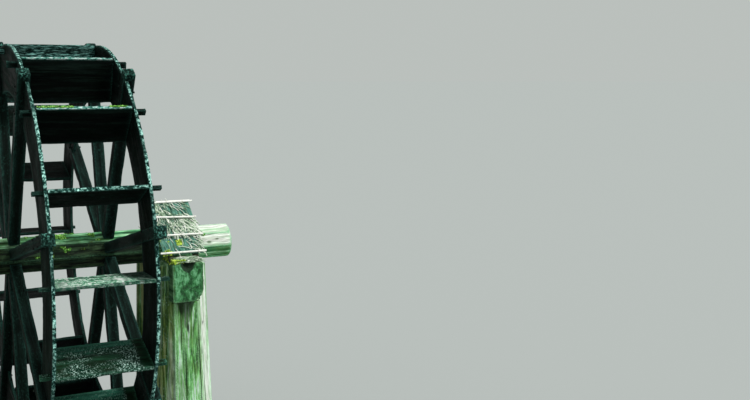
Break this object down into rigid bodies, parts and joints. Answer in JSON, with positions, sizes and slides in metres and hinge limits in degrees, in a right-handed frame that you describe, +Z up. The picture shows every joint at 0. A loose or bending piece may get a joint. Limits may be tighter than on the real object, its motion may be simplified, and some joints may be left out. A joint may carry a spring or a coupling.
{
  "type": "timber water wheel with bearing posts",
  "caption": "Undershot timber water wheel: eight-sided axle, arms, two board rims and tenoned floats, turning on hewn beams and posts with small bark roofs.",
  "frame": {"origin": "on the ground, midway between the posts and under the middle of the axle", "axes": "+X along the axle, +Y to the back of the wheel, +Z up"},
  "size_m": [3.4, 4.0614, 4.2307],
  "materials": {
    "axle_log": "weathered log, dark and mossy in the wheel, pale at the ends",
    "wet_board": "dark wet boards",
    "arm_timber": "dark wet squared timber",
    "post_log": "hewn log, weathered grey-green",
    "beam_log": "hewn log, weathered grey-green with moss",
    "rafter_pole": "dull dry pole",
    "bark_sheet": "dull grey bark under dry litter",
    "batten_cane": "bleached dry cane"
  },
  "bodies": {
    "supports": {"left_front_post": "post_log", "right_front_post": "post_log", "left_back_post": "post_log", "right_back_post": "post_log", "left_bearing_beam": "beam_log", "right_bearing_beam": "beam_log", "left_roof_rafters": "rafter_pole", "right_roof_rafters": "rafter_pole", "left_roof_front_bark": "bark_sheet", "right_roof_front_bark": "bark_sheet", "left_roof_back_bark": "bark_sheet", "right_roof_back_bark": "bark_sheet", "left_roof_battens": "batten_cane", "right_roof_battens": "batten_cane"},
    "wheel": {"axle": "axle_log", "left_rim": "wet_board", "right_rim": "wet_board", "left_arm_pair_1": "arm_timber", "left_arm_pair_2": "arm_timber", "left_arm_pair_3": "arm_timber", "left_arm_pair_4": "arm_timber", "right_arm_pair_1": "arm_timber", "right_arm_pair_2": "arm_timber", "right_arm_pair_3": "arm_timber", "right_arm_pair_4": "arm_timber", "float_1": "wet_board", "float_2": "wet_board", "float_3": "wet_board", "float_4": "wet_board", "float_5": "wet_board", "float_6": "wet_board", "float_7": "wet_board", "float_8": "wet_board", "float_9": "wet_board", "float_10": "wet_board", "float_11": "wet_board", "float_12": "wet_board", "float_13": "wet_board", "float_14": "wet_board", "float_15": "wet_board", "float_16": "wet_board"}
  },
  "joints": [
    {"name": "wheel_spin", "type": "hinge", "parent": "supports", "child": "wheel", "pos_m": [0, 0, 2.2], "axis": [1, 0, 0], "continuous": true}
  ]
}
